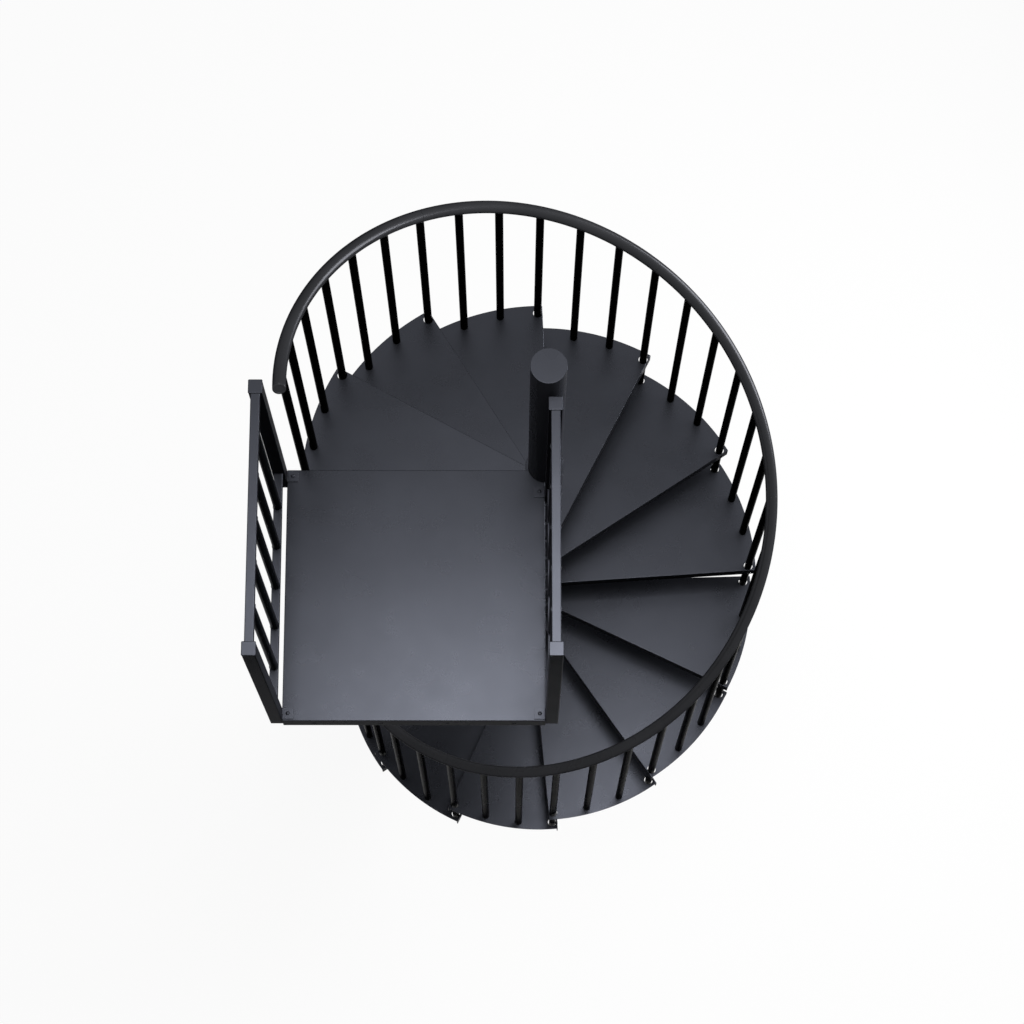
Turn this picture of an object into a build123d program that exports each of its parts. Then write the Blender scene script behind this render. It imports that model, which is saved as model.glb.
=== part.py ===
"""Spiral staircase kit in powder-coated steel: a column with winder treads, a square landing,
baluster panels and a round handrail. Units are millimetres, +Z is up, and the origin is the
centre of the base plate's underside, on the column's axis."""

import os
from math import cos, degrees, radians, sin

from build123d import *

os.makedirs("parts", exist_ok=True)

# ---------------------------------------------------------------- driving sizes
# the stair
tread_count = 12             # treads below the landing
rise = 230.0                 # from one walking surface to the next
tread_turn = 29.5            # degrees between one tread and the next
start_angle = 179.6          # direction of the landing's baluster, seen from above
stair_radius = 762.0         # to the outer edge of the treads

# the column
column_radius = 50.8
column_wall = 5.0
column_above = 978.0         # top of the tube above the landing
cap_thickness = 6.0
cap_edge_radius = 1.2
base_side = 254.0            # square foot plate
base_thickness = 12.7
base_bolt_circle = 270.0     # diameter of the circle through the four holes
base_hole_radius = 8.0
base_corner = 20.0

# hub sleeves that carry the treads
hub_wall = 6.0
hub_height = 150.0
slip = 0.3                   # running clearance of a sleeve on the column
weld_gap = 0.2               # between a folded edge and the sleeve it is welded to

# treads, folded from sheet
sheet = 3.0
tread_flange = 50.0          # depth of the folded edges, over the sheet
front_at_hub = 33.0          # front edge ahead of the radius, at the column
front_at_rail = 16.5         # and at the balusters' circle
back_at_hub = 33.0
back_at_rail = 20.0
tie_hole_radius = 15.5       # hole for the baluster that ties two treads
fold_radius = 2.0            # outside of a folded edge, on treads and landing

# balusters and handrail
rail_inset = 26.0            # from the treads' outer edge in to the balusters' circle
balusters_per_tread = 3
baluster_radius = 12.7
tie_below = 35.0             # how far a tie baluster runs on below the lower tread's surface
handrail_height = 927.0      # handrail centre over the walking surface, at each tie baluster
handrail_radius = 19.05      # the tube's outside
handrail_wall = 3.0
plug_thickness = 4.0
handrail_overrun = 5.0       # degrees of handrail past its first and last baluster
joint_gap = 0.3              # between two lengths of handrail
cope_gap = 0.4               # between a baluster's coped top and the handrail
treads_per_rail_section = 2

# the landing
landing_left = 786.0         # from the column's axis to the landing's left edge
landing_right = 0.5
landing_back = 12.5          # from the axis to the edge over the first tread
landing_front = 790.5
landing_flange = 70.0
header_hole_radius = 7.0     # in the front flange, for the screws into the upper floor
header_hole_pitch = 200.0
header_hole_count = 4
header_hole_drop = 38.0

# the landing's side rails
post_side = 38.1
post_height = 905.0          # top of the post's cap over the landing
post_foot = 55.0             # length of the post below the landing's surface
post_cap_side = 39.5
post_cap_thickness = 4.0
post_inset = 2.5             # from the landing's edge line to the post's outer face, at the front
left_back_post_inset = 2.0
right_back_post_setback = 50.0   # the right back post stands clear of the column
tab_side = 34.0
tab_thickness = 5.0
tab_hole_radius = 4.5
post_wall = 3.0
post_corner = 3.0            # outside corner radius of the square tubes and bars
rail_bar = 25.4              # square bar of the top and bottom rails
bar_corner = 2.0
bottom_rail_clear = 75.0     # under the bottom rail
side_baluster_count = 5

# ---------------------------------------------------------------- worked-out places
rail_radius = stair_radius - rail_inset     # the balusters' circle, also the handrail's
landing_z = (tread_count + 1) * rise
column_top = landing_z + column_above
hub_radius = column_radius + slip + hub_wall
plate_cutout = column_radius + slip        # a deck plate lies on its sleeve and reaches the column
flange_start = hub_radius + weld_gap       # the folded edges stop at the sleeve's side
post_x_left = -landing_left - post_side / 2
post_x_right = landing_right + post_side / 2
front_post_y = -landing_front + post_inset + post_side / 2
left_back_post_y = -landing_back - left_back_post_inset - post_side / 2
right_back_post_y = -landing_back - right_back_post_setback - post_side / 2
rail_top_z = landing_z + post_height - post_cap_thickness
bottom_rail_z = landing_z + bottom_rail_clear
tab_hole_reach = (post_side + tab_side) / 2     # from a post's centre to its tab's hole
post_places = {                                 # x, y, and which way along X the deck lies
    "left_back": (post_x_left, left_back_post_y, 1),
    "left_front": (post_x_left, front_post_y, 1),
    "right_back": (post_x_right, right_back_post_y, -1),
    "right_front": (post_x_right, front_post_y, -1),
}


def tread_z(number):
    """Walking surface of a tread; number 0 is the landing."""
    return landing_z - number * rise


def tie_angle(number):
    """Direction of the tie baluster at a tread's front corner; number 0 stands at the landing."""
    return start_angle - number * tread_turn


def on_circle(radius, angle, z=0.0):
    return Vector(radius * cos(radians(angle)), radius * sin(radians(angle)), z)


def rail_point(angle):
    """Centre line of the handrail over one direction."""
    turned = start_angle - angle
    return on_circle(rail_radius, angle, landing_z + handrail_height - rise * turned / tread_turn)


def save(part, name):
    part.label = name
    export_step(part, f"parts/{name}.step")


# ---------------------------------------------------------------- column and base plate
with BuildPart() as base_plate:
    with BuildSketch():
        RectangleRounded(base_side, base_side, base_corner)
        with PolarLocations(base_bolt_circle / 2, 4, start_angle=45):
            Circle(base_hole_radius, mode=Mode.SUBTRACT)
    extrude(amount=base_thickness)
save(base_plate.part, "base_plate")

with BuildPart() as center_column:
    with BuildSketch(Plane.XY.offset(base_thickness)):
        Circle(column_radius)
        Circle(column_radius - column_wall, mode=Mode.SUBTRACT)
    extrude(amount=column_top - base_thickness)
save(center_column.part, "center_column")

with BuildPart() as column_cap:
    with BuildSketch(Plane.XY.offset(column_top)):
        Circle(column_radius)
    extrude(amount=cap_thickness)
    fillet(column_cap.edges().group_by(Axis.Z)[-1], cap_edge_radius)
save(column_cap.part, "column_cap")

# one sleeve under the landing and one under each tread, all on the column
with BuildPart() as hub_sleeves:
    for number in range(tread_count + 1):
        with BuildSketch(Plane.XY.offset(tread_z(number) - sheet)):
            Circle(hub_radius)
            Circle(column_radius + slip, mode=Mode.SUBTRACT)
        extrude(amount=-hub_height)
save(hub_sleeves.part, "hub_sleeves")


# ---------------------------------------------------------------- treads
def folded_edges(plate):
    """The straight outer edges of a folded plate's top."""
    return plate.faces().sort_by(Axis.Z)[-1].edges().filter_by(GeomType.LINE)


def edge_point(distance, at_hub, at_rail, angle, side, inward=0.0):
    """A point of a tread's straight edge, given by its distance from the axis along the radius."""
    offset = at_hub + (at_rail - at_hub) * distance / rail_radius - inward
    return Vector(distance, side * offset).rotate(Axis.Z, angle)


def tread_corners(inward=0.0):
    """Ends of a tread's front and back edge, from the axis to past the outer circle."""
    past = 2 * stair_radius
    front = [edge_point(d, front_at_hub, front_at_rail, 0, -1, inward) for d in (0, past)]
    back = [edge_point(d, back_at_hub, back_at_rail, tread_turn, 1, inward) for d in (past, 0)]
    return front, back


def wedge(points, inner_radius):
    """The part of an outline that lies between a circle at the hub and the treads' outer edge."""
    with BuildSketch() as outline:
        with BuildLine():
            Polyline(*points, close=True)
        make_face()
        Circle(stair_radius, mode=Mode.INTERSECT)
        Circle(inner_radius, mode=Mode.SUBTRACT)
    return outline.sketch


def make_tread(number):
    front, back = tread_corners()
    front_inner, back_inner = tread_corners(sheet)
    placed = Plane.XY.offset(tread_z(number)).rotated((0, 0, tie_angle(number)))
    with BuildPart() as tread:
        with BuildSketch(placed):
            add(wedge(front + back, plate_cutout))
            for angle in (0, tread_turn):
                with Locations(on_circle(rail_radius, angle)):
                    Circle(tie_hole_radius, mode=Mode.SUBTRACT)
        extrude(amount=-sheet)
        with BuildSketch(placed.offset(-sheet)):
            add(wedge(front + front_inner[::-1], flange_start))
            add(wedge(back + back_inner[::-1], flange_start))
        extrude(amount=-(tread_flange - sheet))
        fillet(folded_edges(tread), fold_radius)
    return tread.part


for number in range(1, tread_count + 1):
    save(make_tread(number), f"tread_{number:02d}")


# ---------------------------------------------------------------- handrail
rail_start = tie_angle(0) + handrail_overrun
rail_end = tie_angle(tread_count) - handrail_overrun
joint_turn = degrees(joint_gap / rail_radius)


def rail_arc(first, last):
    """An arc of the handrail's centre line, from one direction to another."""
    return ThreePointArc(rail_point(first), rail_point((first + last) / 2), rail_point(last))


def rail_path(first, last):
    """Arcs along the helix between two directions, one from each tie baluster to the next."""
    ties = [tie_angle(number) for number in range(tread_count + 1)]
    stops = [first] + [angle for angle in ties if last + joint_turn < angle < first - joint_turn] + [last]
    with BuildLine() as path:
        for start, end in zip(stops, stops[1:]):
            rail_arc(start, end)
    return path.wire()


def make_rail_section(path):
    """A length of the handrail's round tube."""
    with BuildPart() as section:
        with BuildSketch(Plane(origin=path @ 0, z_dir=path % 0)):
            Circle(handrail_radius)
            Circle(handrail_radius - handrail_wall, mode=Mode.SUBTRACT)
        sweep(path=path, transition=Transition.RIGHT)
    return section.part


def rail_plug(end, outward):
    """The round plug that closes an end of the handrail."""
    with BuildPart() as plug:
        with BuildSketch(Plane(origin=end + outward * joint_gap, z_dir=outward)):
            Circle(handrail_radius)
        extrude(amount=plug_thickness)
    return plug.part


section_count = tread_count // treads_per_rail_section
for section in range(section_count):
    first = tie_angle(section * treads_per_rail_section) - joint_turn / 2
    last = tie_angle((section + 1) * treads_per_rail_section) + joint_turn / 2
    if section == 0:
        first = rail_start
    if section == section_count - 1:
        last = rail_end
    path = rail_path(first, last)
    save(make_rail_section(path), f"handrail_{section + 1}")
    if section == 0:
        save(rail_plug(path @ 0, -(path % 0)), "handrail_top_plug")
    if section == section_count - 1:
        save(rail_plug(path @ 1, path % 1), "handrail_bottom_plug")


# ---------------------------------------------------------------- balusters
def baluster_foot(tread, step):
    """Height where a baluster starts; the ones that tie two treads run down past the lower one."""
    if step < balusters_per_tread:
        return tread_z(tread)
    if tread == tread_count:
        return 0.0
    return tread_z(tread + 1) - tie_below


def make_balusters(tread, steps):
    """Round bars that stand along one tread, each coped to the handrail above it."""
    centre_line = rail_arc(tie_angle(tread - 1), tie_angle(tread))
    with BuildPart() as bars:
        for step in steps:
            share = step / balusters_per_tread
            top = centre_line @ share
            foot = baluster_foot(tread, step)
            with BuildSketch(Plane(origin=(top.X, top.Y, foot))):
                Circle(baluster_radius)
            extrude(amount=top.Z - foot)
            with BuildSketch(Plane(origin=top, z_dir=centre_line % share)):
                Circle(handrail_radius + cope_gap)
            extrude(amount=2 * (handrail_radius + baluster_radius), both=True, mode=Mode.SUBTRACT)
    return bars.part


save(make_balusters(0, [balusters_per_tread]), "landing_baluster")
for number in range(1, tread_count + 1):
    save(make_balusters(number, range(1, balusters_per_tread + 1)), f"balusters_{number:02d}")

# ---------------------------------------------------------------- landing
deck_width = landing_left + landing_right
deck_depth = landing_front - landing_back
deck_x = (landing_right - landing_left) / 2
deck_y = -(landing_front + landing_back) / 2
with BuildPart() as landing_deck:
    with BuildSketch(Plane.XY.offset(landing_z)):
        with Locations((deck_x, deck_y)):
            Rectangle(deck_width, deck_depth)
        Circle(plate_cutout, mode=Mode.SUBTRACT)
    extrude(amount=-sheet)
    with BuildSketch(Plane.XY.offset(landing_z - sheet)):
        with Locations((deck_x, deck_y)):
            Rectangle(deck_width, deck_depth)
            Rectangle(deck_width - 2 * sheet, deck_depth - 2 * sheet, mode=Mode.SUBTRACT)
        Circle(flange_start, mode=Mode.SUBTRACT)
    extrude(amount=-(landing_flange - sheet))
    header_row = Plane(
        origin=(deck_x, -landing_front, landing_z - header_hole_drop),
        x_dir=(1, 0, 0),
        z_dir=(0, -1, 0),
    )
    with BuildSketch(header_row):
        with GridLocations(header_hole_pitch, 0, header_hole_count, 1):
            Circle(header_hole_radius)
    extrude(amount=-sheet, mode=Mode.SUBTRACT)
    for x, y, inward in post_places.values():
        with BuildSketch(Plane.XY.offset(landing_z)):
            with Locations((x + inward * tab_hole_reach, y)):
                Circle(tab_hole_radius)
        extrude(amount=-sheet, mode=Mode.SUBTRACT)
    fillet(folded_edges(landing_deck), fold_radius)
save(landing_deck.part, "landing_deck")


def make_post(x, y, inward):
    """A square tube with a cap, and a tab that bolts down onto the deck."""
    with BuildPart() as post:
        with BuildSketch(Plane.XY.offset(landing_z - post_foot)):
            with Locations((x, y)):
                RectangleRounded(post_side, post_side, post_corner)
                Rectangle(post_side - 2 * post_wall, post_side - 2 * post_wall, mode=Mode.SUBTRACT)
        extrude(amount=rail_top_z - landing_z + post_foot)
        with BuildSketch(Plane.XY.offset(rail_top_z)):
            with Locations((x, y)):
                RectangleRounded(post_cap_side, post_cap_side, post_corner)
        extrude(amount=post_cap_thickness)
        fillet(post.faces().sort_by(Axis.Z)[-1].edges(), post_cap_thickness / 2)
        with BuildSketch(Plane.XY.offset(landing_z)):
            with Locations((x + inward * tab_hole_reach, y)):
                Rectangle(tab_side, tab_side)
                Circle(tab_hole_radius, mode=Mode.SUBTRACT)
        extrude(amount=tab_thickness)
    return post.part


for name, (x, y, inward) in post_places.items():
    save(make_post(x, y, inward), f"{name}_post")


def make_rail_panel(x, back_y, front_y):
    """A welded panel between two posts: a top bar, a bottom bar and round balusters."""
    length = back_y - front_y - post_side
    middle = (back_y + front_y) / 2
    pitch = (back_y - front_y) / (side_baluster_count + 1)
    with BuildPart() as panel:
        for bottom in (bottom_rail_z, rail_top_z - rail_bar):
            with BuildSketch(Plane.XY.offset(bottom)):
                with Locations((x, middle)):
                    Rectangle(rail_bar, length)
            extrude(amount=rail_bar)
        fillet(panel.edges().filter_by(Axis.Y), bar_corner)
        with BuildSketch(Plane.XY.offset(bottom_rail_z + rail_bar)):
            with Locations((x, middle)):
                with GridLocations(0, pitch, 1, side_baluster_count):
                    Circle(baluster_radius)
        extrude(amount=rail_top_z - bottom_rail_z - 2 * rail_bar)
    return panel.part


save(make_rail_panel(post_x_left, left_back_post_y, front_post_y), "left_rail_panel")
save(make_rail_panel(post_x_right, right_back_post_y, front_post_y), "right_rail_panel")
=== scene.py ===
"""Looks of the spiral staircase: black powder-coated steel with its screws, welds and plugs.
Units are metres, in the frame of the CAD model."""

import math

import bmesh
import bpy
from mathutils import Matrix, Vector


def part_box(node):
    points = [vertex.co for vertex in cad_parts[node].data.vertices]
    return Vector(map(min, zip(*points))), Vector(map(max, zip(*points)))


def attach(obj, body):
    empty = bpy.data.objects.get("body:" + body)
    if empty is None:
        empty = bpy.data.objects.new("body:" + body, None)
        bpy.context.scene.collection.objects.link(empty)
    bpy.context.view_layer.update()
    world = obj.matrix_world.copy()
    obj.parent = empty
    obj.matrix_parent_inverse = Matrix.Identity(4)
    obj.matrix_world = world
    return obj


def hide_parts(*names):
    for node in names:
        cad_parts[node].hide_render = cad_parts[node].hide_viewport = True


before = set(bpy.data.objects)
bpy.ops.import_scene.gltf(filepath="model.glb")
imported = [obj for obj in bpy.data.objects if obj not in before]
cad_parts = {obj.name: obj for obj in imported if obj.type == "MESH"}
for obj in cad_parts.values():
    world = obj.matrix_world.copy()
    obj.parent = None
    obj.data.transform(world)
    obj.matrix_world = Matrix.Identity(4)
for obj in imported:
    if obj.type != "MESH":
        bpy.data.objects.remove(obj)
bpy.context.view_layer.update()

# ---------------------------------------------------------------- sizes of the stair
TREADS = 12
TREAD_TURN = math.radians(29.5)      # between one tie baluster and the next
BALUSTERS_PER_TREAD = 3
SHEET = 0.003                        # thickness of the folded plates
FRONT_AT_HUB, FRONT_AT_RAIL = 0.033, 0.0165    # a tread's front edge ahead of the radius
BACK_AT_HUB, BACK_AT_RAIL = 0.033, 0.020       # and its back edge behind the next radius up
TREAD_FLANGE = 0.050                 # depth of the folded edges
BALUSTER_RADIUS = 0.0127
HANDRAIL_RADIUS = 0.01905
HANDRAIL_HEIGHT = 0.927              # its centre line over the walking surface
HANDRAIL_OVERRUN = math.radians(5.0)
TREADS_PER_RAIL_SECTION = 2
RAIL_SECTIONS = TREADS // TREADS_PER_RAIL_SECTION
JOINT_GAP = 0.0003                   # between two lengths of handrail
POSTS = ("left_back_post", "left_front_post", "right_back_post", "right_front_post")
POST_SIDE = 0.0381
POST_CAP_SIDE = 0.0395
TAB_SIDE = 0.034
TAB_THICKNESS = 0.005
RAIL_BAR = 0.0254
SIDE_BALUSTERS = 5

# ---------------------------------------------------------------- sizes of the small parts
M6, M8 = 0.006, 0.008                # threads
SPACER_RADIUS = 0.006
SPACER_SINK = 0.0002                 # of its end into the bar
FRONT_SCREW_DEPTH = 0.027            # tie screws below the walking surface
BACK_SCREW_DEPTH = 0.020
HUB_SCREW_DEPTHS = (0.045, 0.110)    # set screws below the plate
LANDING_HUB_TURN = math.radians(225)           # the landing's own set screws face its outer corner
HANDRAIL_WELD = 0.0022               # legs of the fillet beads
HUB_WELD = 0.0035
FLANGE_WELD = 0.003
BASE_WELD = 0.006
TAB_WELD = 0.0025
PANEL_WELD = 0.002
WELD_STEP = 0.0008                   # between two sections of a bead
WELD_RIPPLE = 4                      # sections in one ripple
WELD_SWELL = 0.10                    # share by which a ripple rises and falls
ROUND_POINTS = 24                    # round a screw
HANDRAIL_POINTS = 48                 # round the handrail
HANDRAIL_STEP = math.radians(1.2)    # between two sections of the handrail
HANDRAIL_EASE = 0.0004               # rounding of the ends at its joints
PLUG_PROFILE = (                     # inset from the tube's outside, height over its end
    (0.0, 0.0), (0.0, 0.0024), (0.0005, 0.0034), (0.0016, 0.0040),
    (0.0048, 0.0040), (0.0056, 0.0034), (0.0060, 0.0026),
)
SHARP_ANGLE = math.radians(35)       # faces that meet at more than this keep a crisp edge
UP, DOWN = Vector((0, 0, 1)), Vector((0, 0, -1))

# ---------------------------------------------------------------- places read from the frame
landing_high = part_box("landing_deck")[1]
landing_z = landing_high.z
rise = (landing_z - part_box(f"tread_{TREADS:02d}")[1].z) / TREADS
first_low, first_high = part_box("landing_baluster")
first_centre = (first_low + first_high) / 2
rail_radius = first_centre.xy.length
start_angle = math.atan2(first_centre.y, first_centre.x)
hub_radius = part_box("hub_sleeves")[1].x
column_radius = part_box("center_column")[1].x
base_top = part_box("base_plate")[1].z


def spoke(angle, reach, height=0.0):
    """Point at a distance from the Z axis, in one direction."""
    return Vector((reach * math.cos(angle), reach * math.sin(angle), height))


def tread_z(number):
    """Walking surface of a tread; number 0 is the landing."""
    return landing_z - number * rise


def baluster_angle(index):
    """Direction of a baluster; index 0 stands at the landing."""
    return start_angle - index * TREAD_TURN / BALUSTERS_PER_TREAD


def tie_angle(number):
    """Direction of the tie baluster at a tread's front corner; number 0 stands at the landing."""
    return start_angle - number * TREAD_TURN


def rail_point(angle):
    """Centre line of the handrail over one direction."""
    drop = rise * (start_angle - angle) / TREAD_TURN
    return spoke(angle, rail_radius, landing_z + HANDRAIL_HEIGHT - drop)


def rail_downhill(angle):
    """Unit vector along the handrail, on its way down."""
    climb = rise / TREAD_TURN
    way = Vector((rail_radius * math.sin(angle), -rail_radius * math.cos(angle), -climb))
    return way.normalized()


# ---------------------------------------------------------------- paint
NOISE_LOW, NOISE_HIGH = 0.3, 0.7     # where nearly all of a noise texture's values lie
CLOUD_SCALE = 5.0                    # clouds of tone in a metre
GLOSS_SCALE = 9.0                    # patches of gloss in a metre
GLOSS_SPREAD = 0.015                 # of roughness, to each side of the coat's own
PEEL_SCALE = 420.0                   # dimples of the orange peel in a metre
PEEL_STRENGTH = 0.25
PEEL_HEIGHT = 0.0002
EDGE_RADIUS = 0.0012                 # rounding of the coat over an edge
# The paler line along the edges is a painted highlight that stands in for light caught on the rounded
# folds.
EDGE_STARTS, EDGE_ENDS = 0.98, 0.80  # how alike the rounded and the flat normal are, off and on an edge
EDGE_HIGHLIGHT_SHARE = 0.1                     # of the paler tone in the coat's on an edge
EDGE_HIGHLIGHT_TONE = (0.10, 0.10, 0.11, 1.0)
# All six are one black powder coat. Their tones differ from part to part only as painted light and shade,
# some parts lighter and some darker, and the blue cast in most of them is painted cool light.
COATS = {                            # dark tone, light tone, metal's share, sheen at flat angles, roughness
    "tread_paint": ((0.0342, 0.0362, 0.0437), (0.0378, 0.0400, 0.0483), 0.88, 0.24, 0.28),
    "deck_paint": ((0.0285, 0.0302, 0.0365), (0.0315, 0.0334, 0.0403), 0.88, 0.24, 0.28),
    "side_rail_paint": ((0.0310, 0.0328, 0.0397), (0.0344, 0.0364, 0.0440), 0.88, 0.24, 0.30),
    "handrail_paint": ((0.0290, 0.0296, 0.0325), (0.0350, 0.0357, 0.0392), 0.50, 0.34, 0.28),
    "baluster_paint": ((0.0220, 0.0220, 0.0230), (0.0280, 0.0280, 0.0290), 1.00, 0.12, 0.28),
    "column_paint": ((0.0380, 0.0402, 0.0486), (0.0430, 0.0455, 0.0550), 0.50, 0.27, 0.28),
}


def value_noise(tree, coordinates, scale, detail, low, high):
    """Noise spread between two values."""
    noise = tree.nodes.new("ShaderNodeTexNoise")
    noise.inputs["Scale"].default_value = scale
    noise.inputs["Detail"].default_value = detail
    tree.links.new(coordinates, noise.inputs["Vector"])
    spread = tree.nodes.new("ShaderNodeMapRange")
    spread.inputs["From Min"].default_value = NOISE_LOW
    spread.inputs["From Max"].default_value = NOISE_HIGH
    spread.inputs["To Min"].default_value = low
    spread.inputs["To Max"].default_value = high
    tree.links.new(noise.outputs["Fac"], spread.inputs["Value"])
    return spread.outputs["Result"]


def colour_mix(tree, factor):
    """A node that goes from colour A to colour B with a factor."""
    mix = tree.nodes.new("ShaderNodeMix")
    mix.data_type = "RGBA"
    tree.links.new(factor, mix.inputs["Factor"])
    return mix


def powder_coat(name, dark, light, metal_share, flat_angle_sheen, roughness):
    """Satin black coat: orange peel, cloudy tone and gloss, and a painted highlight along the edges, a
    slightly paler line.
    Its sheen is set as a metal's, because the coat stays dark at flat angles where a clear one glares."""
    material = bpy.data.materials.new(name)
    material.use_nodes = True
    tree = material.node_tree
    shader = tree.nodes["Principled BSDF"]
    shader.inputs["Metallic"].default_value = metal_share
    shader.inputs["Specular IOR Level"].default_value = 0.0
    shader.inputs["Specular Tint"].default_value = (flat_angle_sheen,) * 3 + (1.0,)
    place = tree.nodes.new("ShaderNodeTexCoord").outputs["Object"]

    clouds = value_noise(tree, place, CLOUD_SCALE, detail=4.0, low=0.0, high=1.0)
    tone = colour_mix(tree, clouds)
    tone.inputs["A"].default_value = (*dark, 1.0)
    tone.inputs["B"].default_value = (*light, 1.0)

    rounded = tree.nodes.new("ShaderNodeBevel")
    rounded.samples = 4
    rounded.inputs["Radius"].default_value = EDGE_RADIUS
    flat = tree.nodes.new("ShaderNodeNewGeometry")
    alike = tree.nodes.new("ShaderNodeVectorMath")
    alike.operation = "DOT_PRODUCT"
    tree.links.new(rounded.outputs["Normal"], alike.inputs[0])
    tree.links.new(flat.outputs["Normal"], alike.inputs[1])
    # Mask of the painted highlight: where the rounded normal turns away from the flat one, near an edge.
    edge_highlight_mask = tree.nodes.new("ShaderNodeMapRange")
    edge_highlight_mask.inputs["From Min"].default_value = EDGE_STARTS
    edge_highlight_mask.inputs["From Max"].default_value = EDGE_ENDS
    edge_highlight_mask.inputs["To Max"].default_value = EDGE_HIGHLIGHT_SHARE
    tree.links.new(alike.outputs["Value"], edge_highlight_mask.inputs["Value"])
    # Painted highlight: the coat's tone turns partly to the paler edge tone along the edges.
    edge = colour_mix(tree, edge_highlight_mask.outputs["Result"])
    edge.inputs["B"].default_value = EDGE_HIGHLIGHT_TONE
    tree.links.new(tone.outputs["Result"], edge.inputs["A"])
    tree.links.new(edge.outputs["Result"], shader.inputs["Base Color"])

    gloss = value_noise(tree, place, GLOSS_SCALE, detail=6.0,
                        low=roughness - GLOSS_SPREAD, high=roughness + GLOSS_SPREAD)
    tree.links.new(gloss, shader.inputs["Roughness"])

    peel = tree.nodes.new("ShaderNodeTexNoise")
    peel.inputs["Scale"].default_value = PEEL_SCALE
    peel.inputs["Detail"].default_value = 2.0
    tree.links.new(place, peel.inputs["Vector"])
    bump = tree.nodes.new("ShaderNodeBump")
    bump.inputs["Strength"].default_value = PEEL_STRENGTH
    bump.inputs["Distance"].default_value = PEEL_HEIGHT
    tree.links.new(peel.outputs["Fac"], bump.inputs["Height"])
    tree.links.new(rounded.outputs["Normal"], bump.inputs["Normal"])
    tree.links.new(bump.outputs["Normal"], shader.inputs["Normal"])
    return material


paint = {slot: powder_coat(slot.replace("paint", "coat"), *coat) for slot, coat in COATS.items()}


# ---------------------------------------------------------------- ways of making pieces
def finish_piece(name, mesh, slot, stands_for=()):
    """Turns a mesh under construction into a painted piece of the staircase."""
    bmesh.ops.recalc_face_normals(mesh, faces=mesh.faces)
    for face in mesh.faces:
        face.smooth = True
    data = bpy.data.meshes.new(name)
    mesh.to_mesh(data)
    mesh.free()
    data.set_sharp_from_angle(angle=SHARP_ANGLE)
    data.materials.append(paint[slot])
    piece = bpy.data.objects.new(name, data)
    bpy.context.scene.collection.objects.link(piece)
    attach(piece, "root")
    if stands_for:
        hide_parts(*stands_for)
    return piece


def seat(point, outward):
    """A frame at a point whose Z axis points outward."""
    turn = Vector(outward).to_track_quat("Z", "Y").to_matrix().to_4x4()
    return Matrix.Translation(point) @ turn


def circle(radius, height, count=ROUND_POINTS):
    """A ring of points round the Z axis."""
    return [spoke(math.tau * step / count, radius, height) for step in range(count)]


def hexagon(half_flats, height, count=ROUND_POINTS):
    """A hexagon with as many points as a circle, given by half its width over the flats."""
    ring = []
    for step in range(count):
        turn = math.tau * step / count
        off_flat = (turn + math.pi / 6) % (math.pi / 3) - math.pi / 6
        ring.append(spoke(turn, half_flats / math.cos(off_flat), height))
    return ring


def skin(mesh, place, rings, closed_path=False):
    """A closed skin over rings of points given in the frame of place."""
    loops = [[mesh.verts.new(place @ point) for point in ring] for ring in rings]
    pairs = list(zip(loops, loops[1:]))
    if closed_path:
        pairs.append((loops[-1], loops[0]))
    for near, far in pairs:
        for index in range(len(near)):
            after = (index + 1) % len(near)
            mesh.faces.new((near[index], near[after], far[after], far[index]))
    if not closed_path:
        mesh.faces.new(loops[0][::-1])
        mesh.faces.new(loops[-1])


def add_flat_screw(mesh, place, thread):
    """A countersunk head with a hexagon socket, standing a little proud of a surface."""
    head_radius, head = 0.85 * thread, 0.12 * thread
    socket, depth = 0.30 * thread, 0.10 * thread
    skin(mesh, place, [
        circle(head_radius, 0.0),
        circle(head_radius, 0.5 * head),
        circle(0.95 * head_radius, head),
        circle(0.60 * head_radius, head),
        hexagon(socket, head),
        hexagon(socket, head - depth),
    ])


def washer_rings(radius, thickness):
    """The rings of a washer with an eased rim, from the surface up."""
    return [circle(radius, 0.0), circle(radius, 0.85 * thickness), circle(0.97 * radius, thickness)]


def add_button_screw(mesh, place, thread):
    """A washer and a button head with a hexagon socket, standing on a surface."""
    washer = 0.2 * thread
    head_radius, head = 0.88 * thread, 0.55 * thread
    socket, depth = 0.32 * thread, 0.32 * thread
    top = washer + head
    skin(mesh, place, washer_rings(thread, washer) + [
        circle(head_radius, washer),
        circle(head_radius, washer + 0.2 * head),
        circle(0.92 * head_radius, washer + 0.55 * head),
        circle(0.76 * head_radius, washer + 0.88 * head),
        circle(0.62 * head_radius, top),
        hexagon(socket, top),
        hexagon(socket, top - depth),
    ])


def add_hex_bolt(mesh, place, thread):
    """A washer and a hexagon head, standing on a surface."""
    washer = 0.2 * thread
    half_flats, head = 0.8 * thread, 0.6 * thread
    skin(mesh, place, washer_rings(1.05 * thread, washer) + [
        hexagon(half_flats, washer),
        hexagon(half_flats, washer + 0.85 * head),
        circle(0.9 * half_flats, washer + head),
    ])


def add_spacer(mesh, start, end):
    """A short round spacer between two points."""
    length = (end - start).length
    skin(mesh, seat(start, end - start), [circle(SPACER_RADIUS, 0.0), circle(SPACER_RADIUS, length)])


def add_weld(mesh, corners, closed_path):
    """A rippled fillet bead; each corner gives its point, its two open directions and the bead's size."""
    rings = []
    for index, (point, out, up, size) in enumerate(corners):
        swell = size * (1 + WELD_SWELL * math.sin(math.tau * index / WELD_RIPPLE))
        ring = [point]
        for share in (0.0, 0.25, 0.5, 0.75, 1.0):
            turn = share * math.pi / 2
            ring.append(point + (out * math.cos(turn) + up * math.sin(turn)) * swell)
        rings.append(ring)
    skin(mesh, Matrix.Identity(4), rings, closed_path)


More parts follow.
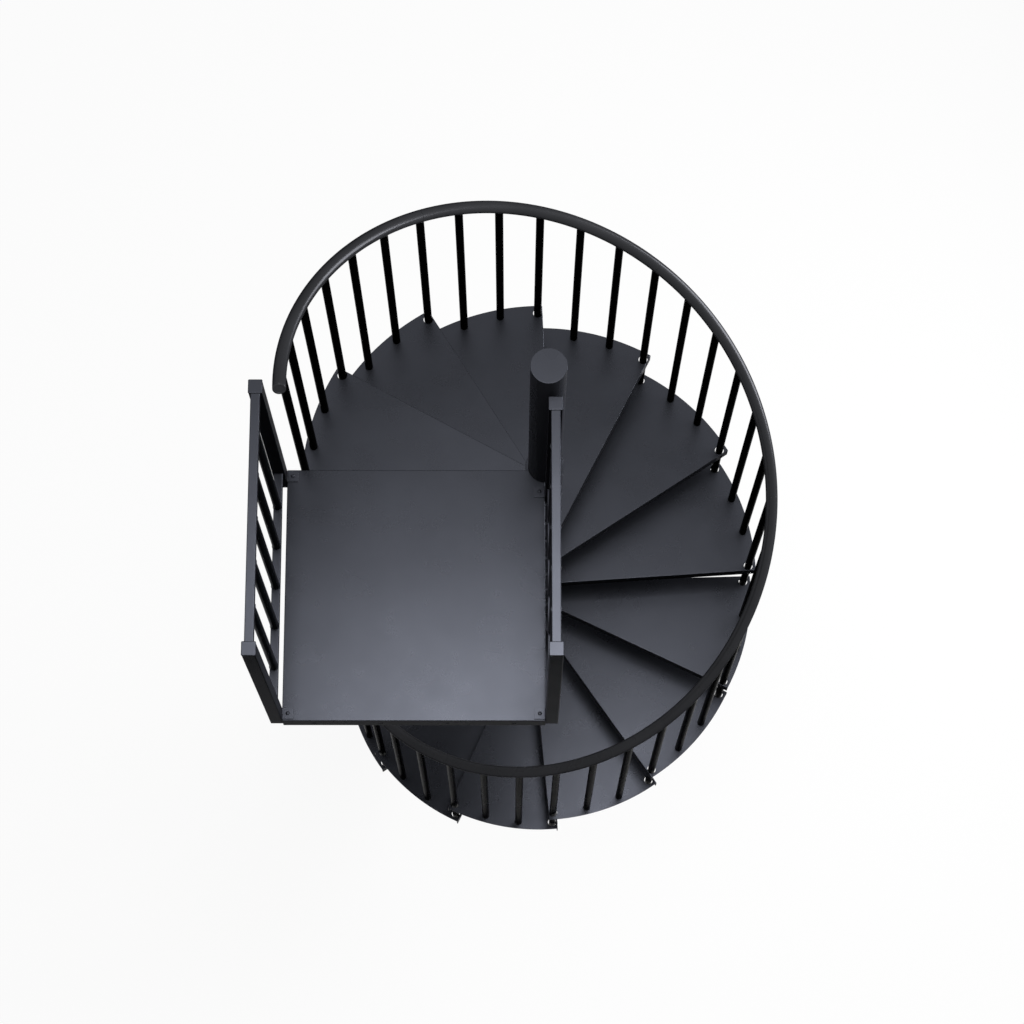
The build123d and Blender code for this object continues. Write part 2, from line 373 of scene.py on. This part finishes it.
def weld_sections(radius):
    """How many sections a bead round a bar has: whole ripples."""
    return WELD_RIPPLE * round(math.tau * radius / WELD_STEP / WELD_RIPPLE)


def add_round_weld(mesh, place, radius, size):
    """A bead round a bar or tube that leaves a surface along the Z axis of place."""
    turned = place.to_3x3()
    corners = []
    for spot in circle(radius, 0.0, weld_sections(radius)):
        corners.append((place @ spot, turned @ spot.normalized(), turned @ UP, size))
    add_weld(mesh, corners, closed_path=True)


def add_straight_weld(mesh, start, end, out, up, size):
    """A bead along a straight corner."""
    count = max(WELD_RIPPLE, round((end - start).length / WELD_STEP))
    corners = [(start.lerp(end, step / count), Vector(out), Vector(up), size) for step in range(count + 1)]
    add_weld(mesh, corners, closed_path=False)


# ---------------------------------------------------------------- handrail
def make_handrail_section(number):
    """One length of the round tube, eased at its ends, so that a fine line shows at each joint."""
    first = tie_angle((number - 1) * TREADS_PER_RAIL_SECTION)
    last = tie_angle(number * TREADS_PER_RAIL_SECTION)
    if number == 1:
        first += HANDRAIL_OVERRUN
    if number == RAIL_SECTIONS:
        last -= HANDRAIL_OVERRUN
    ease_turn = HANDRAIL_EASE / rail_radius
    gap_turn = JOINT_GAP / 2 / rail_radius
    first -= gap_turn
    last += gap_turn
    steps = round((first - last) / HANDRAIL_STEP)
    span = first - last - 2 * ease_turn
    stops = [(first, HANDRAIL_RADIUS - HANDRAIL_EASE)]
    for step in range(steps + 1):
        stops.append((first - ease_turn - span * step / steps, HANDRAIL_RADIUS))
    stops.append((last, HANDRAIL_RADIUS - HANDRAIL_EASE))
    rings = []
    for angle, radius in stops:
        centre = rail_point(angle)
        radial = spoke(angle, 1.0)
        upward = radial.cross(rail_downhill(angle))
        spots = circle(radius, 0.0, HANDRAIL_POINTS)
        rings.append([centre + radial * spot.x + upward * spot.y for spot in spots])
    mesh = bmesh.new()
    skin(mesh, Matrix.Identity(4), rings)
    finish_piece(f"handrail_tube_{number}", mesh, "handrail_paint", [f"handrail_{number}"])


def make_handrail_plug(name, angle, outward, stands_for):
    """A pressed plug with a rounded rim and a shallow dish."""
    place = seat(rail_point(angle) + outward * JOINT_GAP, outward)
    mesh = bmesh.new()
    skin(mesh, place, [
        circle(HANDRAIL_RADIUS - inset, height, HANDRAIL_POINTS) for inset, height in PLUG_PROFILE
    ])
    finish_piece(name, mesh, "handrail_paint", [stands_for])


def make_handrail_welds():
    """The bead where each baluster meets the handrail's underside."""
    mesh = bmesh.new()
    slope = rise / TREAD_TURN / rail_radius
    lean = math.hypot(1.0, slope)
    for index in range(TREADS * BALUSTERS_PER_TREAD + 1):
        angle = baluster_angle(index)
        centre = rail_point(angle)
        radial = spoke(angle, 1.0)
        downhill = Vector((radial.y, -radial.x, 0))
        corners = []
        for spot in circle(BALUSTER_RADIUS, 0.0, weld_sections(BALUSTER_RADIUS)):
            across, along = spot.x, spot.y
            below = along * slope + lean * math.sqrt(HANDRAIL_RADIUS**2 - across**2)
            out = radial * across + downhill * along
            corners.append((centre + out + DOWN * below, out.normalized(), DOWN, HANDRAIL_WELD))
        add_weld(mesh, corners, closed_path=True)
    finish_piece("handrail_welds", mesh, "baluster_paint")


for number in range(1, RAIL_SECTIONS + 1):
    make_handrail_section(number)
rail_start = tie_angle(0) + HANDRAIL_OVERRUN
rail_end = tie_angle(TREADS) - HANDRAIL_OVERRUN
make_handrail_plug("handrail_upper_end", rail_start, -rail_downhill(rail_start), "handrail_top_plug")
make_handrail_plug("handrail_lower_end", rail_end, rail_downhill(rail_end), "handrail_bottom_plug")
make_handrail_welds()


# ---------------------------------------------------------------- screws of the treads
def flange_face(number, side, depth):
    """Point and outward direction on a folded edge's outside, beside the tie baluster of that number.
    Side -1 is the front edge of the tread it ends, and side 1 the back edge of the next tread down."""
    at_hub, at_rail = (FRONT_AT_HUB, FRONT_AT_RAIL) if side < 0 else (BACK_AT_HUB, BACK_AT_RAIL)
    tread = number if side < 0 else number + 1
    turn = Matrix.Rotation(tie_angle(number), 4, "Z")
    point = turn @ Vector((rail_radius, side * at_rail, tread_z(tread) - depth))
    outward = turn @ Vector(((at_hub - at_rail) / rail_radius, side, 0)).normalized()
    return point, outward


def make_tie_screws():
    """Screws through the folded edges into the tie balusters, each with a spacer."""
    mesh = bmesh.new()
    for number in range(TREADS + 1):
        ties = []
        if number > 0:
            ties.append((-1, FRONT_SCREW_DEPTH, FRONT_AT_RAIL))
        if number < TREADS:
            ties.append((1, BACK_SCREW_DEPTH, BACK_AT_RAIL))
        for side, depth, offset in ties:
            point, outward = flange_face(number, side, depth)
            add_flat_screw(mesh, seat(point, outward), M8)
            bar_side = point - outward * (offset - BALUSTER_RADIUS + SPACER_SINK)
            add_spacer(mesh, point - outward * SHEET, bar_side)
    behind = Vector((first_centre.x, landing_high.y - SHEET, landing_z - FRONT_SCREW_DEPTH - M8))
    add_hex_bolt(mesh, seat(behind, (0, -1, 0)), M8)
    bar_side = Vector((behind.x, first_centre.y - BALUSTER_RADIUS + SPACER_SINK, behind.z))
    add_spacer(mesh, Vector((behind.x, landing_high.y, behind.z)), bar_side)
    finish_piece("tie_screws", mesh, "baluster_paint")


def make_foot_screws():
    """Screws from below into the two balusters that stand on each tread."""
    mesh = bmesh.new()
    for index in range(TREADS * BALUSTERS_PER_TREAD):
        tread, step = divmod(index, BALUSTERS_PER_TREAD)
        if step:
            under = tread_z(tread + 1) - SHEET
            add_hex_bolt(mesh, seat(spoke(baluster_angle(index), rail_radius, under), DOWN), M8)
    finish_piece("baluster_foot_screws", mesh, "baluster_paint")


make_tie_screws()
make_foot_screws()


# ---------------------------------------------------------------- hub sleeves and base
def make_hub_screws():
    """Two screws in each sleeve that clamp it on the column."""
    mesh = bmesh.new()
    for number in range(TREADS + 1):
        middle = tie_angle(number) + TREAD_TURN / 2 if number else LANDING_HUB_TURN
        for depth in HUB_SCREW_DEPTHS:
            spot = spoke(middle, hub_radius, tread_z(number) - SHEET - depth)
            add_hex_bolt(mesh, seat(spot, spoke(middle, 1.0)), M8)
    finish_piece("hub_screws", mesh, "column_paint")


def make_hub_welds():
    """Beads between each sleeve and the plate it carries, and up the ends of the folded edges."""
    mesh = bmesh.new()
    for number in range(TREADS + 1):
        under = tread_z(number) - SHEET
        add_round_weld(mesh, seat(Vector((0, 0, under)), DOWN), hub_radius, HUB_WELD)
        if not number:
            continue
        for side, angle, offset in (
            (-1, tie_angle(number), FRONT_AT_HUB),
            (1, tie_angle(number - 1), BACK_AT_HUB),
        ):
            turn = Matrix.Rotation(angle, 3, "Z")
            reach = math.sqrt(hub_radius**2 - offset**2)
            start = turn @ Vector((reach, side * offset, 0)) + UP * under
            end = start + DOWN * (TREAD_FLANGE - SHEET)
            along_edge = turn @ Vector((1, 0, 0))
            across = turn @ Vector((0, side, 0))
            add_straight_weld(mesh, start, end, along_edge, across, FLANGE_WELD)
    finish_piece("hub_welds", mesh, "column_paint")


def make_base_weld():
    """The bead that holds the column on its foot plate."""
    mesh = bmesh.new()
    add_round_weld(mesh, seat(Vector((0, 0, base_top)), UP), column_radius, BASE_WELD)
    finish_piece("base_weld", mesh, "column_paint")


make_hub_screws()
make_hub_welds()
make_base_weld()


# ---------------------------------------------------------------- side rails of the landing
def post_facts(name):
    """Centre of a post and the way along X to the deck."""
    low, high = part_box(name)
    middle_y = (low.y + high.y) / 2
    if name.startswith("left"):
        return Vector((low.x + POST_CAP_SIDE / 2, middle_y, landing_z)), 1
    return Vector((high.x - POST_CAP_SIDE / 2, middle_y, landing_z)), -1


def make_tab_screws():
    """One screw through each post's tab into the deck."""
    mesh = bmesh.new()
    for name in POSTS:
        centre, inward = post_facts(name)
        spot = centre + Vector((inward * (POST_SIDE + TAB_SIDE) / 2, 0, TAB_THICKNESS))
        add_button_screw(mesh, seat(spot, UP), M6)
    finish_piece("tab_screws", mesh, "side_rail_paint")


def make_post_welds():
    """The bead between each post and its tab."""
    end_margin = 0.001
    mesh = bmesh.new()
    for name in POSTS:
        centre, inward = post_facts(name)
        middle = centre + Vector((inward * POST_SIDE / 2, 0, TAB_THICKNESS))
        half = Vector((0, TAB_SIDE / 2 - end_margin, 0))
        add_straight_weld(mesh, middle - half, middle + half, (inward, 0, 0), UP, TAB_WELD)
    finish_piece("post_tab_welds", mesh, "side_rail_paint")


def make_panel_welds(name):
    """Beads along the bars' ends at the posts, and round each baluster between the bars."""
    low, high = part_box(name)
    mesh = bmesh.new()
    for bottom in (low.z, high.z - RAIL_BAR):
        for y, away in ((low.y, 1), (high.y, -1)):
            for side, x in ((-1, low.x), (1, high.x)):
                start = Vector((x, y, bottom + PANEL_WELD))
                end = Vector((x, y, bottom + RAIL_BAR - PANEL_WELD))
                add_straight_weld(mesh, start, end, (side, 0, 0), (0, away, 0), PANEL_WELD)
            start = Vector((low.x + PANEL_WELD, y, bottom))
            end = Vector((high.x - PANEL_WELD, y, bottom))
            add_straight_weld(mesh, start, end, DOWN, (0, away, 0), PANEL_WELD)
    pitch = (high.y - low.y + POST_SIDE) / (SIDE_BALUSTERS + 1)
    for index in range(SIDE_BALUSTERS):
        y = (low.y + high.y) / 2 + (index - (SIDE_BALUSTERS - 1) / 2) * pitch
        foot = Vector(((low.x + high.x) / 2, y, low.z + RAIL_BAR))
        head = Vector((foot.x, y, high.z - RAIL_BAR))
        add_round_weld(mesh, seat(foot, UP), BALUSTER_RADIUS, PANEL_WELD)
        add_round_weld(mesh, seat(head, DOWN), BALUSTER_RADIUS, PANEL_WELD)
    finish_piece(f"{name}_welds", mesh, "side_rail_paint")


make_tab_screws()
make_post_welds()
for name in ("left_rail_panel", "right_rail_panel"):
    make_panel_welds(name)


# ---------------------------------------------------------------- paint on the CAD's own pieces
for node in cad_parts.values():
    for index, material in enumerate(node.data.materials):
        node.data.materials[index] = paint[material.name.split(".")[0]]


# ---------------------------------------------------------------- stage, lights and camera
FLOOR_HALF = 30.0
FLOOR_DROP = 0.0005                  # below the foot plate, so that the two don't share a plane
FLOOR_TONE = (0.92, 0.92, 0.92, 1.0)
FLOOR_WHITE = 0.93                   # share of plain white where it is seen; the rest keeps the shadow
WHITE = (1.0, 1.0, 1.0, 1.0)
FILL = 0.20                          # strength of the world's light on the object
CAMERA_PLACE = (-0.1016, -2.3842, 11.2247)
CAMERA_TURN = (15.213, -0.021, 0.036)          # degrees
CAMERA_LENS, CAMERA_SENSOR = 98.58, 36.0       # millimetres


def seen_directly(tree):
    """1 for the rays that see a background: camera, mirror and glass rays."""
    path = tree.nodes.new("ShaderNodeLightPath")
    total = path.outputs["Is Camera Ray"]
    for name in ("Is Glossy Ray", "Is Transmission Ray"):
        larger = tree.nodes.new("ShaderNodeMath")
        larger.operation = "MAXIMUM"
        tree.links.new(total, larger.inputs[0])
        tree.links.new(path.outputs[name], larger.inputs[1])
        total = larger.outputs["Value"]
    return total


def mix_shaders(tree, factor, first, second, output):
    """Leads a mix of two shaders to an output node."""
    mix = tree.nodes.new("ShaderNodeMixShader")
    tree.links.new(factor, mix.inputs[0])
    tree.links.new(first, mix.inputs[1])
    tree.links.new(second, mix.inputs[2])
    tree.links.new(mix.outputs["Shader"], output.inputs["Surface"])


def make_floor():
    """A plain pale floor that keeps the object's shadow."""
    mesh = bmesh.new()
    corners = [(-1, -1), (1, -1), (1, 1), (-1, 1)]
    mesh.faces.new([mesh.verts.new((FLOOR_HALF * x, FLOOR_HALF * y, -FLOOR_DROP)) for x, y in corners])
    data = bpy.data.meshes.new("floor")
    mesh.to_mesh(data)
    mesh.free()
    floor = bpy.data.objects.new("floor", data)
    bpy.context.scene.collection.objects.link(floor)

    material = bpy.data.materials.new("floor_white")
    material.use_nodes = True
    tree = material.node_tree
    shader = tree.nodes["Principled BSDF"]
    shader.inputs["Base Color"].default_value = FLOOR_TONE
    shader.inputs["Roughness"].default_value = 0.9
    shader.inputs["Specular IOR Level"].default_value = 0.0
    white = tree.nodes.new("ShaderNodeEmission")
    share = tree.nodes.new("ShaderNodeMath")
    share.operation = "MULTIPLY"
    share.inputs[1].default_value = FLOOR_WHITE
    tree.links.new(seen_directly(tree), share.inputs[0])
    mix_shaders(tree, share.outputs["Value"], shader.outputs["BSDF"], white.outputs["Emission"],
                tree.nodes["Material Output"])
    data.materials.append(material)


def make_world():
    """White where it is seen, and a plain soft fill elsewhere."""
    world = bpy.data.worlds.new("studio")
    bpy.context.scene.world = world
    world.use_nodes = True
    tree = world.node_tree
    fill = tree.nodes["Background"]
    fill.inputs["Color"].default_value = WHITE
    fill.inputs["Strength"].default_value = FILL
    white = tree.nodes.new("ShaderNodeBackground")
    white.inputs["Color"].default_value = WHITE
    mix_shaders(tree, seen_directly(tree), fill.outputs["Background"], white.outputs["Background"],
                tree.nodes["World Output"])


def make_softbox(name, centre, aim, width, depth, radiance):
    """A rectangular light of one brightness over its whole face."""
    light = bpy.data.lights.new(name, "AREA")
    light.shape = "RECTANGLE"
    light.size = width
    light.size_y = depth
    light.energy = radiance * math.pi * width * depth
    lamp = bpy.data.objects.new(name, light)
    lamp.location = centre
    direction = Vector(aim) - Vector(centre)
    lamp.rotation_euler = direction.to_track_quat("-Z", "Y").to_euler()
    lamp.visible_camera = False
    bpy.context.scene.collection.objects.link(lamp)


def make_camera():
    """The viewpoint: high over the landing's front edge, tilted a little off straight down."""
    data = bpy.data.cameras.new("camera")
    data.lens = CAMERA_LENS
    data.sensor_width = CAMERA_SENSOR
    data.clip_end = 100.0
    camera = bpy.data.objects.new("camera", data)
    camera.location = CAMERA_PLACE
    camera.rotation_euler = [math.radians(turn) for turn in CAMERA_TURN]
    bpy.context.scene.collection.objects.link(camera)
    bpy.context.scene.camera = camera


make_floor()
make_world()
make_softbox("overhead_softbox", centre=(0.08, -0.32, 8.0), aim=(0.08, -0.32, 0.0),
             width=2.3, depth=1.82, radiance=12.0)
make_softbox("right_softbox", centre=(3.2, 1.2, 3.0), aim=(0.0, 0.0, 3.0),
             width=2.2, depth=1.6, radiance=19.0)
make_camera()
bpy.context.scene.view_settings.view_transform = "Standard"
